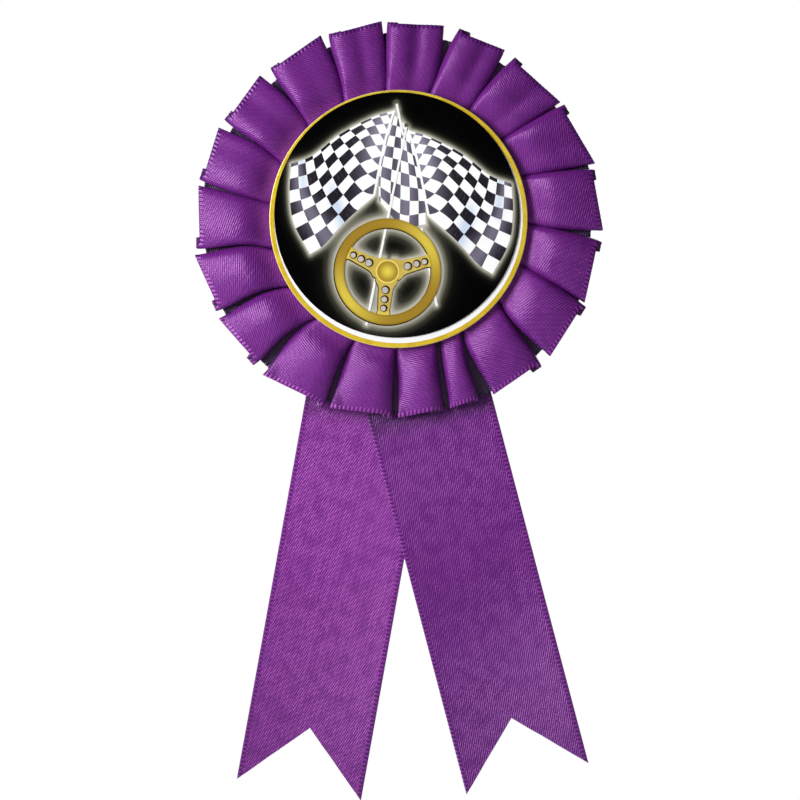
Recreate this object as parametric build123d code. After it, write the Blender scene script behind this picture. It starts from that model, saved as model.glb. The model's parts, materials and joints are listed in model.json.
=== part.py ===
"""Pleated award rosette with two swallow-tailed streamers, a printed centre and a safety-pin back.

Upright, +Z up and +X to the right of someone who faces it. The front looks along -Y.
The origin is the rosette's centre on the rear face of the backing card.
"""

import math
import os

from build123d import *

# Driving dimensions, in millimetres and degrees.

# Satin ribbon, one inch wide, used for the pleats and for both streamers.
RIBBON_WIDTH = 25.4
RIBBON_THICK = 0.35

# Pleated ring: the ribbon's outer selvedge lies on this radius.
ROSETTE_RADIUS = 41.0
PLEAT_INSET = 1.6           # the recessed back layer ends this much inside the outer selvedge
PLEAT_RISE = 2.0            # height of the folds where the insert holder presses on them
PLEAT_CROWN = 3.0           # height of the folds where they puff out most
PLEAT_CROWN_AT = 0.62       # place of that crown, as a share of the ribbon's width
PLEAT_LIP = 2.3             # height of the folds at the outer selvedge
GAP_TUCK = 1.0              # the gaps between the pleats close to nothing this far under the holder
# Start and end of each front panel at the selvedge, clockwise from the top.
PLEAT_PANELS = [
    (-3, 13), (18, 32), (36, 54), (55.5, 74), (76, 93), (96.5, 114), (117.5, 131.5),
    (136, 151), (156, 164.5), (167, 180), (182, 200), (202, 221), (225, 241), (243.5, 260),
    (262, 279.5), (281.5, 297), (300, 316), (320, 337), (339.5, 355),
]

# Streamers, each a cut length of the ribbon with a V-notched end.
STREAMER_ABOVE = 10.0       # length tucked in above the rosette's centre
BEND_BELOW_CROSSING = 2.6   # from where the strips part to the line where each tail flexes
BEND_GAP = 0.4              # space left open along that line
LEFT_ANGLE = 10.2           # from the vertical, towards -X
LEFT_SHIFT = 0.6            # sideways place of the strip's centre line at the rosette's centre
LEFT_REACH = 117.0          # centre to the tips
LEFT_NOTCH = 12.6           # depth of the V
RIGHT_ANGLE = 14.7          # from the vertical, towards +X
RIGHT_SHIFT = -3.6
RIGHT_REACH = 116.7
RIGHT_NOTCH = 12.6

# Cards, glue and thread behind the pleats.
CARD_RADIUS = 25.4
CARD_THICK = 0.8
REAR_GLUE_INSET = 5.4
REAR_GLUE_THICK = 0.6
PLEAT_CARD_LAP = 6.4        # width of ribbon that lies on the pleat card
PLEAT_CARD_THICK = 0.6
GLUE_CLEARANCE = 0.6        # the centre glue stops this far inside the pleats' inner edge
THREAD = 0.3
STITCH_INSET = 3.4          # from the pleats' inner edge
STITCH_COUNT = 38
STITCH_SHARE = 0.68         # share of each stitch's pitch that the thread covers

# Staples through both streamers and the pleat card.
STAPLE_WIRE = 0.5
STAPLE_SPAN = 10.0
STAPLE_CLINCH = 3.4
STAPLE_CENTRE = -1.5
STAPLE_HEIGHTS = (4.0, -8.0)

# Centre: a white disc with a gold rim and a printed insert, laid on slightly off centre.
HOLDER_RADIUS = 26.0
HOLDER_THICK = 1.7
HOLDER_EDGE = 0.3           # chamfer round its rear edge
RIM_WIDTH = 1.0
RIM_THICK = 0.2
RIM_DEPTH = 0.9             # how far the rim wraps down the disc's side
RIM_ROUND = 0.15
INSERT_INSET = 1.3          # disc's edge to the printed insert's edge, if it lay on centre
INSERT_THICK = 0.25
INSERT_SHIFT_X = -0.3
INSERT_SHIFT_Z = 0.8

# Bar pin, lying along X on the upper half of the card.
PIN_HEIGHT = 11.0           # above the rosette's centre
TAPE_THICK = 0.8
TAPE_MARGIN = 0.3
BAR_LENGTH = 32.0
BAR_WIDTH = 5.0
BAR_THICK = 0.6
BAR_CORNER = 2.0
BAR_HOLE_RADIUS = 0.75
BAR_HOLE_OFFSET = 6.0
HINGE_INSET = 2.2           # bar's end to the hinge's axis
NEEDLE_RADIUS = 0.45
NEEDLE_POINT = 3.0
NEEDLE_PAST_CATCH = 1.6
EYE_WALL = 0.66
EYE_THICK = 1.4
EYE_SIDE_GAP = 0.1
EAR_THICK = 0.6
EAR_RADIUS = 1.5
RIVET_RADIUS = 0.5
RIVET_CLEARANCE = 0.04
RIVET_HEAD_STEP = 0.45
RIVET_HEAD_THICK = 0.35
CATCH_INSET = 5.0           # bar's end to the inner end of the catch's sleeve
SLEEVE_LENGTH = 2.0
SLEEVE_WALL = 0.65
SLEEVE_FOOT = 2.8           # width of the foot that joins the sleeve to the bar
BARREL_RADIUS = 1.25
BARREL_CLEARANCE = 0.05
BARREL_BORE_GAP = 0.2       # needle to the barrel's bore
SLOT_CLEARANCE = 0.2        # needle to each side of the slot
COLLAR_STEP = 0.35
COLLAR_THICK = 0.5
COLLAR_LIFT = 0.4           # top of the bar to the collars
COLLAR_GAP = 0.1
LEVER_WIDTH = 1.1
LEVER_REACH = 3.6           # needle's axis to the lever's tip

# The stack from the back to the front: each value is a face's Y.
CARD_FRONT = -CARD_THICK
REAR_GLUE_FRONT = CARD_FRONT - REAR_GLUE_THICK
LEFT_FRONT = REAR_GLUE_FRONT - RIBBON_THICK
RIGHT_FRONT = LEFT_FRONT - RIBBON_THICK
PLEAT_CARD_REAR = RIGHT_FRONT - THREAD
PLEAT_CARD_FRONT = PLEAT_CARD_REAR - PLEAT_CARD_THICK
BACK_LAYER_FRONT = PLEAT_CARD_FRONT - RIBBON_THICK
HOLDER_REAR = BACK_LAYER_FRONT - PLEAT_RISE
HOLDER_FRONT = HOLDER_REAR - HOLDER_THICK

PLEAT_INNER_RADIUS = ROSETTE_RADIUS - RIBBON_WIDTH
PLEAT_CARD_RADIUS = PLEAT_INNER_RADIUS + PLEAT_CARD_LAP
STITCH_RADIUS = PLEAT_INNER_RADIUS + STITCH_INSET
BAR_TOP = TAPE_THICK + BAR_THICK
COLLAR_RADIUS = BARREL_RADIUS + COLLAR_STEP
SLEEVE_BORE = BARREL_RADIUS + BARREL_CLEARANCE
SLEEVE_RADIUS = SLEEVE_BORE + SLEEVE_WALL
NEEDLE_Y = BAR_TOP + COLLAR_LIFT + COLLAR_RADIUS
EYE_BORE = RIVET_RADIUS + RIVET_CLEARANCE
RIVET_HEAD_RADIUS = RIVET_RADIUS + RIVET_HEAD_STEP
HINGE_X = -BAR_LENGTH / 2 + HINGE_INSET
INSERT_RADIUS = HOLDER_RADIUS - INSERT_INSET
SLEEVE_START = BAR_LENGTH / 2 - CATCH_INSET
SLEEVE_END = SLEEVE_START + SLEEVE_LENGTH
EPSILON = 1.0               # how far a cutting tool runs past the face that it cuts


def disc(radius, rear, thick, x=0.0, z=0.0):
    """A round plate whose rear face is at Y = rear and that grows forwards, to -Y."""
    return Pos(x, rear, z) * Rot(90, 0, 0) * Cylinder(
        radius, thick, align=(Align.CENTER, Align.CENTER, Align.MIN))


def block(x, y, z):
    """A box between pairs of limits."""
    low = (min(x), min(y), min(z))
    size = (abs(x[1] - x[0]), abs(y[1] - y[0]), abs(z[1] - z[0]))
    return Pos(*low) * Box(*size, align=(Align.MIN, Align.MIN, Align.MIN))


def rod_x(radius, start, end):
    """A round bar on the needle's axis."""
    return Pos(start, NEEDLE_Y, PIN_HEIGHT) * Rot(0, 90, 0) * Cylinder(
        radius, end - start, align=(Align.CENTER, Align.CENTER, Align.MIN))


def rod_z(radius, low, high):
    """A round bar on the hinge's axis."""
    return Pos(HINGE_X, NEEDLE_Y, low) * Cylinder(
        radius, high - low, align=(Align.CENTER, Align.CENTER, Align.MIN))


def polar(radius, clockwise):
    """A point of the XZ plane, at an angle clockwise from the top."""
    turn = math.radians(clockwise)
    return (radius * math.sin(turn), radius * math.cos(turn))


def front_prism(points, rear, thick):
    """An outline of (x, z) points, extruded forwards from Y = rear."""
    plane = Plane(origin=(0, rear, 0), x_dir=(1, 0, 0), z_dir=(0, -1, 0))
    return extrude(plane * make_face(Polyline(*points, close=True)), thick)


def pleated_ribbon():
    """The ring of folds, with a V gap between each panel and the next."""
    inner, outer = PLEAT_INNER_RADIUS, ROSETTE_RADIUS
    rear, base = PLEAT_CARD_FRONT, BACK_LAYER_FRONT
    lip = (outer, base - PLEAT_LIP)
    crown = (inner + PLEAT_CROWN_AT * RIBBON_WIDTH, base - PLEAT_CROWN)
    pressed = (HOLDER_RADIUS, HOLDER_REAR)
    hem = (outer - PLEAT_INSET, rear)
    back = Polyline(pressed, (inner, HOLDER_REAR), (inner, rear), hem, (outer, base), lip)
    ring = revolve(make_face(back + Spline(lip, crown, pressed)), Axis.Y, 360)
    for number, (_, end) in enumerate(PLEAT_PANELS):
        start = PLEAT_PANELS[(number + 1) % len(PLEAT_PANELS)][0]
        start += 360 if start < end else 0
        past = outer + EPSILON
        gap = [polar(HOLDER_RADIUS - GAP_TUCK, (start + end) / 2), polar(past, end), polar(past, start)]
        ring -= front_prism(gap, base, PLEAT_CROWN + EPSILON)
    return ring


def bend_distance():
    """Length from the rosette's centre to the bend lines, just past where the strips' inner edges part."""
    left, right = math.radians(LEFT_ANGLE), math.radians(RIGHT_ANGLE)
    half = RIBBON_WIDTH / 2
    apart = LEFT_SHIFT - RIGHT_SHIFT + half * (math.cos(left) + math.cos(right))
    apart -= half * math.tan(right) * (math.sin(left) - math.sin(right))
    along_left = apart / (math.sin(left) + math.tan(right) * math.cos(left))
    along_right = (half * (math.sin(left) - math.sin(right)) + math.cos(left) * along_left) / math.cos(right)
    return max(along_left, along_right) + BEND_BELOW_CROSSING


def streamer_plane(angle, shift, rear):
    """The plane of a strip: its local -Y runs down the strip and its normal is forwards."""
    turn = math.radians(angle)
    return Plane(origin=(shift, rear, 0), x_dir=(math.cos(turn), 0, math.sin(turn)), z_dir=(0, -1, 0))


def streamer_top(angle, shift, rear):
    """The part of a streamer from its tucked-in end to the bend line."""
    half = RIBBON_WIDTH / 2
    low = BEND_GAP / 2 - bend_distance()
    outline = Polyline((-half, STREAMER_ABOVE), (half, STREAMER_ABOVE), (half, low), (-half, low), close=True)
    strip = extrude(streamer_plane(angle, shift, rear) * make_face(outline), RIBBON_THICK)
    return strip - staples()


def streamer_tail(angle, shift, rear, reach, notch):
    """The hanging part below the bend line, with its V-notched end."""
    half = RIBBON_WIDTH / 2
    top = -BEND_GAP / 2 - bend_distance()
    outline = Polyline(
        (-half, top), (half, top), (half, -reach), (0, -reach + notch), (-half, -reach), close=True)
    return extrude(streamer_plane(angle, shift, rear) * make_face(outline), RIBBON_THICK)


def staples():
    """Two clinched staples, each a crown, two legs and two folded ends."""
    legs_front = PLEAT_CARD_FRONT - STAPLE_WIRE
    crown_rear = REAR_GLUE_FRONT + STAPLE_WIRE
    wires = []
    for height in STAPLE_HEIGHTS:
        z = (height - STAPLE_WIRE / 2, height + STAPLE_WIRE / 2)
        left = STAPLE_CENTRE - STAPLE_SPAN / 2
        right = STAPLE_CENTRE + STAPLE_SPAN / 2
        wire = block((left, right), (crown_rear, REAR_GLUE_FRONT), z)
        wire += block((left, left + STAPLE_WIRE), (crown_rear, legs_front), z)
        wire += block((right - STAPLE_WIRE, right), (crown_rear, legs_front), z)
        wire += block((left, left + STAPLE_CLINCH), (PLEAT_CARD_FRONT, legs_front), z)
        wire += block((right - STAPLE_CLINCH, right), (PLEAT_CARD_FRONT, legs_front), z)
        wires.append(wire)
    return Compound(children=[wire.solid() for wire in wires])


def pleat_stitching():
    """A ring of short stitches on the rear of the pleat card."""
    pitch = 360 / STITCH_COUNT
    length = 2 * math.pi * STITCH_RADIUS / STITCH_COUNT * STITCH_SHARE
    stitch = Pos(0, PLEAT_CARD_REAR + THREAD / 2, STITCH_RADIUS) * Box(length, THREAD, THREAD)
    return Compound(children=[(Rot(0, pitch * number, 0) * stitch).solid() for number in range(STITCH_COUNT)])


def center_glue():
    """Hot-melt glue that fills the hollow between the pleat card and the insert holder."""
    radius = PLEAT_INNER_RADIUS - GLUE_CLEARANCE
    return disc(radius, PLEAT_CARD_FRONT, PLEAT_CARD_FRONT - HOLDER_REAR) - staples()


def insert_holder():
    """The white disc, cut back round its edge for the gold rim."""
    body = disc(HOLDER_RADIUS, HOLDER_REAR, HOLDER_THICK)
    rear_edge = body.edges().group_by(Axis.Y)[-1]
    return chamfer(rear_edge, HOLDER_EDGE) - sharp_rim()


def sharp_rim():
    """A ring with an L section that wraps the disc's front edge, before its corner is rounded."""
    inner, wall, outer = HOLDER_RADIUS - RIM_WIDTH, HOLDER_RADIUS - RIM_THICK, HOLDER_RADIUS
    front, flange, skirt = HOLDER_FRONT, HOLDER_FRONT + RIM_THICK, HOLDER_FRONT + RIM_DEPTH
    section = [(inner, front), (outer, front), (outer, skirt), (wall, skirt), (wall, flange), (inner, flange)]
    return revolve(make_face(Polyline(*section, close=True)), Axis.Y, 360)


def gold_rim():
    """The rim, with its outer front corner rounded."""
    ring = sharp_rim()
    front = ring.edges().filter_by(GeomType.CIRCLE).group_by(Axis.Y)[0]
    return fillet(front.sort_by(SortBy.RADIUS)[-1], RIM_ROUND)


def pin_tape():
    """The adhesive foam strip that holds the bar to the card."""
    half = BAR_LENGTH / 2 - TAPE_MARGIN
    rise = BAR_WIDTH / 2 - TAPE_MARGIN
    return block((-half, half), (0, TAPE_THICK), (PIN_HEIGHT - rise, PIN_HEIGHT + rise))


def pin_bar():
    """The stamped bar, with the hinge's two ears and the catch's slotted sleeve."""
    half = BAR_LENGTH / 2
    low, high = PIN_HEIGHT - BAR_WIDTH / 2, PIN_HEIGHT + BAR_WIDTH / 2
    bar = block((-half, half), (TAPE_THICK, BAR_TOP), (low, high))
    bar = fillet(bar.edges().filter_by(Axis.Y), BAR_CORNER)
    for x in (-BAR_HOLE_OFFSET, BAR_HOLE_OFFSET):
        bar -= disc(BAR_HOLE_RADIUS, BAR_TOP + EPSILON, BAR_THICK + 2 * EPSILON, x, PIN_HEIGHT)
    ear_gap = EYE_THICK / 2 + EYE_SIDE_GAP
    for near, far in ((ear_gap, ear_gap + EAR_THICK), (-ear_gap - EAR_THICK, -ear_gap)):
        z = (PIN_HEIGHT + near, PIN_HEIGHT + far)
        bar += block((HINGE_X - EAR_RADIUS, HINGE_X + EAR_RADIUS), (BAR_TOP, NEEDLE_Y), z)
        bar += rod_z(EAR_RADIUS, *z)
    bar -= rod_z(RIVET_RADIUS, low, high)
    sleeve = rod_x(SLEEVE_RADIUS, SLEEVE_START, SLEEVE_END)
    x = (SLEEVE_START, SLEEVE_END)
    sleeve += block(x, (BAR_TOP, NEEDLE_Y), (PIN_HEIGHT - SLEEVE_FOOT / 2, PIN_HEIGHT + SLEEVE_FOOT / 2))
    bar += sleeve - block(x, (TAPE_THICK - EPSILON, BAR_TOP), (low, high))
    bar -= rod_x(SLEEVE_BORE, SLEEVE_START - EPSILON, SLEEVE_END + EPSILON)
    return bar - needle_slot(SLEEVE_START - EPSILON, SLEEVE_END + EPSILON)


def needle_slot(start, end):
    """The way that the needle takes out of the catch, to +Y."""
    half = NEEDLE_RADIUS + SLOT_CLEARANCE
    y = (NEEDLE_Y, NEEDLE_Y + 2 * SLEEVE_RADIUS)
    return block((start, end), y, (PIN_HEIGHT - half, PIN_HEIGHT + half))


def pin_arm():
    """The needle, with an eye that turns on the rivet."""
    needle_end = SLEEVE_END + COLLAR_GAP + COLLAR_THICK + NEEDLE_PAST_CATCH
    shaft = rod_x(NEEDLE_RADIUS, HINGE_X, needle_end - NEEDLE_POINT)
    point = Pos(needle_end - NEEDLE_POINT, NEEDLE_Y, PIN_HEIGHT) * Rot(0, 90, 0) * Cone(
        NEEDLE_RADIUS, NEEDLE_RADIUS / 8, NEEDLE_POINT, align=(Align.CENTER, Align.CENTER, Align.MIN))
    eye = rod_z(EYE_BORE + EYE_WALL, PIN_HEIGHT - EYE_THICK / 2, PIN_HEIGHT + EYE_THICK / 2)
    bore = rod_z(EYE_BORE, PIN_HEIGHT - EYE_THICK, PIN_HEIGHT + EYE_THICK)
    return shaft + point + eye - bore


def hinge_rivet():
    """The headed rivet through both ears."""
    outside = EYE_THICK / 2 + EYE_SIDE_GAP + EAR_THICK
    low, high = PIN_HEIGHT - outside, PIN_HEIGHT + outside
    rivet = rod_z(RIVET_RADIUS, low, high)
    rivet += rod_z(RIVET_HEAD_RADIUS, high, high + RIVET_HEAD_THICK)
    rivet += rod_z(RIVET_HEAD_RADIUS, low - RIVET_HEAD_THICK, low)
    return rivet


def catch_barrel():
    """The slotted barrel that turns in the sleeve to lock the needle, with its thumb lever."""
    inner_end = SLEEVE_START - COLLAR_GAP - COLLAR_THICK
    outer_end = SLEEVE_END + COLLAR_GAP + COLLAR_THICK
    barrel = rod_x(BARREL_RADIUS, inner_end, outer_end)
    barrel += rod_x(COLLAR_RADIUS, inner_end, inner_end + COLLAR_THICK)
    barrel += rod_x(COLLAR_RADIUS, outer_end - COLLAR_THICK, outer_end)
    half = LEVER_WIDTH / 2
    barrel += block(
        (outer_end - COLLAR_THICK, outer_end), (NEEDLE_Y - half, NEEDLE_Y + half),
        (PIN_HEIGHT - LEVER_REACH, PIN_HEIGHT - BARREL_RADIUS / 2))
    barrel -= rod_x(NEEDLE_RADIUS + BARREL_BORE_GAP, inner_end - EPSILON, outer_end + EPSILON)
    return barrel - needle_slot(inner_end - EPSILON, outer_end + EPSILON)


def rear_glue():
    """The glue pad between the backing card and the streamers, round the staples' crowns."""
    return disc(CARD_RADIUS - REAR_GLUE_INSET, CARD_FRONT, REAR_GLUE_THICK) - staples()


def pleat_card():
    """The card disc that the pleats are sewn to."""
    return disc(PLEAT_CARD_RADIUS, PLEAT_CARD_REAR, PLEAT_CARD_THICK) - staples()


def build_nodes():
    left = (-LEFT_ANGLE, LEFT_SHIFT, REAR_GLUE_FRONT)
    right = (RIGHT_ANGLE, RIGHT_SHIFT, LEFT_FRONT)
    return {
        "backing_card": disc(CARD_RADIUS, 0, CARD_THICK),
        "rear_glue": rear_glue(),
        "left_streamer": streamer_top(*left),
        "left_tail": streamer_tail(*left, LEFT_REACH, LEFT_NOTCH),
        "right_streamer": streamer_top(*right),
        "right_tail": streamer_tail(*right, RIGHT_REACH, RIGHT_NOTCH),
        "staples": staples(),
        "pleat_stitching": pleat_stitching(),
        "pleat_card": pleat_card(),
        "pleated_ribbon": pleated_ribbon(),
        "center_glue": center_glue(),
        "insert_holder": insert_holder(),
        "gold_rim": gold_rim(),
        "printed_insert": disc(INSERT_RADIUS, HOLDER_FRONT, INSERT_THICK, INSERT_SHIFT_X, INSERT_SHIFT_Z),
        "pin_tape": pin_tape(),
        "pin_bar": pin_bar(),
        "pin_arm": pin_arm(),
        "hinge_rivet": hinge_rivet(),
        "catch_barrel": catch_barrel(),
    }


if __name__ == "__main__":
    os.makedirs("parts", exist_ok=True)
    for name, shape in build_nodes().items():
        export_step(shape, f"parts/{name}.step")
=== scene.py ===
"""Looks of a pleated satin award rosette with two streamers, a printed centre and a bar pin.

Lengths are in millimetres until a mesh is made, and the frame gives the places.
"""
import json
import math

import bpy
import numpy as np
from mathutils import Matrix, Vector
from mathutils.kdtree import KDTree


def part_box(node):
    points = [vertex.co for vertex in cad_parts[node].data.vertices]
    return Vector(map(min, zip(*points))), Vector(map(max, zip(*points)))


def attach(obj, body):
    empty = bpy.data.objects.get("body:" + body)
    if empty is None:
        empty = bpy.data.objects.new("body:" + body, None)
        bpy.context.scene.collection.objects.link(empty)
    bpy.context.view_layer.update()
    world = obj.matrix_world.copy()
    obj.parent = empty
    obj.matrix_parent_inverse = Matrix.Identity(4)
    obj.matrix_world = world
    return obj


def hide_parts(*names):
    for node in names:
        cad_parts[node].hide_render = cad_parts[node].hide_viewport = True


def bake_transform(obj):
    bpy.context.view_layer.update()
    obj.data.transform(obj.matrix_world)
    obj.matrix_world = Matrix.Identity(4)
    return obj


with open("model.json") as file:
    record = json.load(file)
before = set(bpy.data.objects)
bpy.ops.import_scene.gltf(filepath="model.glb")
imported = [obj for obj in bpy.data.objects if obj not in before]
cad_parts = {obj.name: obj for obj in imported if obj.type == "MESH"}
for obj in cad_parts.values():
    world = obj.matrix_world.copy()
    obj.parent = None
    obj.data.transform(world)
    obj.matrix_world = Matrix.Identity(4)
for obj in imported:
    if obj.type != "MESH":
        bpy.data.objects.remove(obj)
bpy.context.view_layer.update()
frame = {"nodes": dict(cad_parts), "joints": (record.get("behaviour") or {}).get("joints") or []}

MM = 0.001
BODY = "rosette"

# Satin ribbon.
RIBBON_WIDTH = 25.4
HALF_THICK = 0.15
BEAD_PITCH = 0.842          # selvedge loops along the ribbon's edge
BEAD_BAND = 1.0
BEAD_RISE = 0.05
BEAD_SCALLOP = 0.05
SAMPLES_PER_BEAD = 5
DYE = (78, 11, 106)
RIB_PITCH = 0.42
RIB_SLOPE = 24.0            # degrees from the ribbon's length
DASH_LENGTH = 1.9           # a rib's floats, and how each row starts a little further on
DASH_STAGGER = 2.4
STREAK_PITCH = 1.0
THREAD_PITCH = 0.21

# Pleats, clockwise from the top: where each starts and ends at the selvedge, in degrees, and how far
# out those two corners lie; then the gap after it: its angle and width at the gold rim, how far it
# bows, in degrees, and how far out the layer behind it reaches.
PLEATS = [
    (-3, 13, 39.5, 40.1, 14.0, 0.1, 0.6, 37.4), (18, 32, 39.6, 40.3, 32.7, 0.1, 0.1, 37.7),
    (36, 54, 39.5, 40.3, 52.2, 0.1, 0.3, 39.0), (55.5, 74, 39.9, 41.2, 70.7, 0.1, 0.4, 39.8),
    (76, 93, 40.2, 41.3, 91.9, 0.1, 0.6, 38.9), (96.5, 114, 40.4, 41.1, 110, 0.1, 0.5, 39.9),
    (115.3, 132, 40.9, 41.2, 129.5, 0.5, 1.4, 39.1), (136, 151.4, 40.5, 40.2, 150.4, 0.5, 1.5, 39.4),
    (156.2, 164.7, 39.5, 39.5, 161.5, 1.2, 0.9, 39.1), (167, 180, 39.2, 40.0, 180.9, 0.3, 0.1, 39.4),
    (182, 200, 39.4, 40.5, 200.0, 0.35, 1.2, 39.4), (202, 221, 40.2, 41.6, 220.0, 0.5, 2.2, 39.8),
    (225, 241, 40.5, 41.4, 238.4, 0.6, 2.2, 39.8), (243.5, 260, 40.4, 41.7, 256.7, 0.5, 2.2, 39.4),
    (262, 279.5, 40.4, 40.9, 276.7, 0.2, 0.4, 39.8), (281.5, 297, 40.2, 40.7, 295.4, 0.1, 1.4, 38.3),
    (300, 316, 39.8, 40.3, 315.7, 0.1, 1.2, 37.5), (320, 337, 39.5, 40.3, 334.9, 0.1, 1.4, 37.5),
    (339.5, 355, 39.6, 40.1, 354.4, 0.1, 0.5, 37.7),
]
# How late a gap opens on its way out: below 1 it opens near the rim. Gaps not listed take PLAIN_FLARE.
PLAIN_FLARE = 2.4
GAP_FLARE = {7: 1.2, 8: 0.8, 9: 0.6, 10: 0.7, 11: 1.3, 12: 1.7}
# How each pleat is puffed: height of its crown, its bow across, where the bow peaks, the depth and
# place of a hollow, how far its under-fold peeks out at the start, and how much higher its start is.
PUFF = [
    (3.8, 0.85, 0.30, 0.80, 0.55, 0.35, 0.5), (3.8, 0.95, 0.36, 0.55, 0.62, 0.80, 0.7),
    (3.8, 0.80, 0.32, 0.55, 0.60, 0.75, 0.8), (3.9, 0.80, 0.28, 0.30, 0.60, 0.80, 0.8),
    (4.2, 0.80, 0.30, 0.15, 0.70, 0.60, 0.9), (4.3, 0.85, 0.34, 0.00, 0.50, 0.85, 0.9),
    (4.3, 1.00, 0.36, 0.00, 0.50, 0.85, 1.0), (4.2, 1.15, 0.38, 0.00, 0.50, 0.90, 1.1),
    (4.0, 1.00, 0.40, 0.00, 0.50, 0.50, 0.6), (4.0, 1.60, 0.32, 0.00, 0.50, 0.40, 1.1),
    (4.1, 1.75, 0.30, 0.00, 0.50, 0.75, 1.3), (4.2, 1.70, 0.32, 0.00, 0.50, 1.00, 1.3),
    (4.2, 1.10, 0.42, 0.10, 0.30, 1.00, 1.0), (4.3, 0.90, 0.50, 0.05, 0.30, 0.80, 0.8),
    (4.3, 0.85, 0.42, 0.00, 0.50, 0.80, 0.7), (4.2, 0.80, 0.34, 0.15, 0.70, 0.75, 0.7),
    (4.0, 0.75, 0.26, 0.30, 0.55, 0.65, 0.8), (3.8, 0.95, 0.28, 0.22, 0.52, 0.45, 0.7),
    (3.8, 0.95, 0.30, 0.50, 0.54, 0.30, 0.6),
]
PLEAT_FLAT = 24.6           # flat length of ribbon in one pleat
START_ROUND = 1.0           # how wide each front fold turns
END_ROUND = 1.35
HORN_LENGTH = 3.5
RETURN_HEIGHT = 0.62        # back layer to the folded-under layer
RIM_HEIGHT = 2.0            # back layer to the front layer, where the disc presses on it
LIP_HEIGHT = 2.35
CROWN_AT = 0.40             # share of the way from the rim to the selvedge
BACK_LAYER_Y = -3.175
PLEAT_ROWS = [0, 4, 8, 10.4, 12, 13.6, 15.2, 17, 18.8, 20.6, 22.2, 23.6, 24.35, 24.6, 24.9, 25.2, 25.4]

# Streamers.
STREAMER_LIFT = 0.175       # the middle of a streamer lies this far behind its solid's front
STREAMER_ROWS = [0, 0.2, 0.5, 0.75, 1.05, 1.8, 3.4, 5.4, 7.6, 10, 12.7]
WAVE_START = 44.0
TAIL_SHADE = 0.22           # painted shade: how much the cloth's colour darkens towards the tips, and up under the ring that shades it
TOP_SHADE = 0.55
NOTCH_EASE = 2.2            # the notch pulls the threads over this many notch depths

# Printed centre: the net of points that the left flag hangs on, hoist to fly and top to bottom.
FLAG_NET = [
    [(-0.6, 21.9), (-5.3, 20.4), (-11.8, 17.0), (-17.2, 12.8), (-21.6, 11.1)],
    [(-2.1, 17.0), (-6.9, 16.1), (-12.2, 11.7), (-17.1, 6.8), (-21.9, 5.3)],
    [(-3.4, 11.4), (-8.2, 9.2), (-12.4, 4.7), (-16.6, 1.6), (-21.1, -0.8)],
    [(-4.7, 4.7), (-9.3, 0.8), (-12.0, -1.9), (-15.1, -5.3), (-17.8, -7.1)],
]
DRAPE_NET = [
    [(-0.9, 20.9), (0.7, 19.6), (2.4, 17.6)],
    [(-2.6, 15.0), (0.9, 13.6), (3.8, 11.6)],
    [(-3.8, 9.2), (1.0, 6.8), (5.2, 5.4)],
    [(-3.9, 3.6), (0.8, -1.4), (5.5, -1.1)],
]
FLAG_MIRROR = 1.1           # the right flag is the left one turned over about half this X
FLAG_DROP = 4.0
POLES = [((-0.4, 23.4), (7.7, -17.5)), ((1.6, 18.7), (-6.5, -21.4))]
POLE_SHOWS = [(4.6, -1.8), (1.6, 18.7)]     # the first comes out below the drape, the second lies over it
POLE_GOES_UNDER = (0.9, 16.8)               # where the first one goes under the drape
FINIAL_RADIUS = 0.42
OUTLINE_SHIFT = (-0.13, -0.16)              # the wheel's dark outline peeks out this way
POLE_WIDTH = 0.46
WHEEL_CENTRE = (-2.2, -10.6)
WHEEL_OUTER = 10.7
WHEEL_INNER = 8.75
HUB_RADIUS = 2.4
SPOKES = [(154, (4.1, 5.85, 7.6)), (15, (4.26, 6.1, 7.76)), (-96, (3.7, 5.6, 7.4))]
GROUND_RINGS = 96           # rings of points that carry the halo
PRINT_STEP = 0.03           # each printed layer stands this far in front of the one below

CAMERA_DISTANCE = 1200.0
FRAME_ACROSS = 161.94
FRAME_CENTRE = (0.3, -36.44)

# Soft lights: name, place in metres, size and power; all point at one spot.
LIGHTS = [
    ("key", (-0.62, -0.55, 0.16), 0.5, 8.6), ("front_fill", (0.10, -1.0, 0.25), 0.8, 0.9),
    ("low_fill", (0.55, -0.45, -0.42), 0.4, 1.2), ("back", (0.3, 0.9, 0.35), 0.8, 4.0),
]
LIT_POINT = (0, 0, -0.04)
FLOOR_LEVEL = -0.162


# ---------------------------------------------------------------------------------------------
# Node trees written as expressions
# ---------------------------------------------------------------------------------------------

class Value:
    """A socket that gives a number; arithmetic on it adds Math nodes."""

    def __init__(self, finish, socket):
        self.finish = finish
        self.socket = socket

    def math(self, operation, *values):
        return self.finish.node("ShaderNodeMath", {"operation": operation}, dict(enumerate(values)))

    def __add__(self, other):
        return self.math("ADD", self, other)

    def __sub__(self, other):
        return self.math("SUBTRACT", self, other)

    def __rsub__(self, other):
        return self.math("SUBTRACT", other, self)

    def __mul__(self, other):
        return self.math("MULTIPLY", self, other)

    def __truediv__(self, other):
        return self.math("DIVIDE", self, other)

    def __pow__(self, other):
        return self.math("POWER", self, other)

    __radd__ = __add__
    __rmul__ = __mul__

    def sine(self):
        return self.math("SINE", self)

    def floor(self):
        return self.math("FLOOR", self)

    def absolute(self):
        return self.math("ABSOLUTE", self)

    def wave(self):
        """Sine of the value, moved to run from 0 to 1."""
        return self.sine() * 0.5 + 0.5

    def clamp(self):
        return self.finish.node("ShaderNodeClamp", {}, {"Value": self})

    def ramp(self, low, high, start=0.0, end=1.0):
        """Eases from start to end while the value runs from low to high."""
        return self.finish.node("ShaderNodeMapRange", {"interpolation_type": "SMOOTHSTEP"}, {
            "Value": self, "From Min": low, "From Max": high, "To Min": start, "To Max": end})


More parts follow.
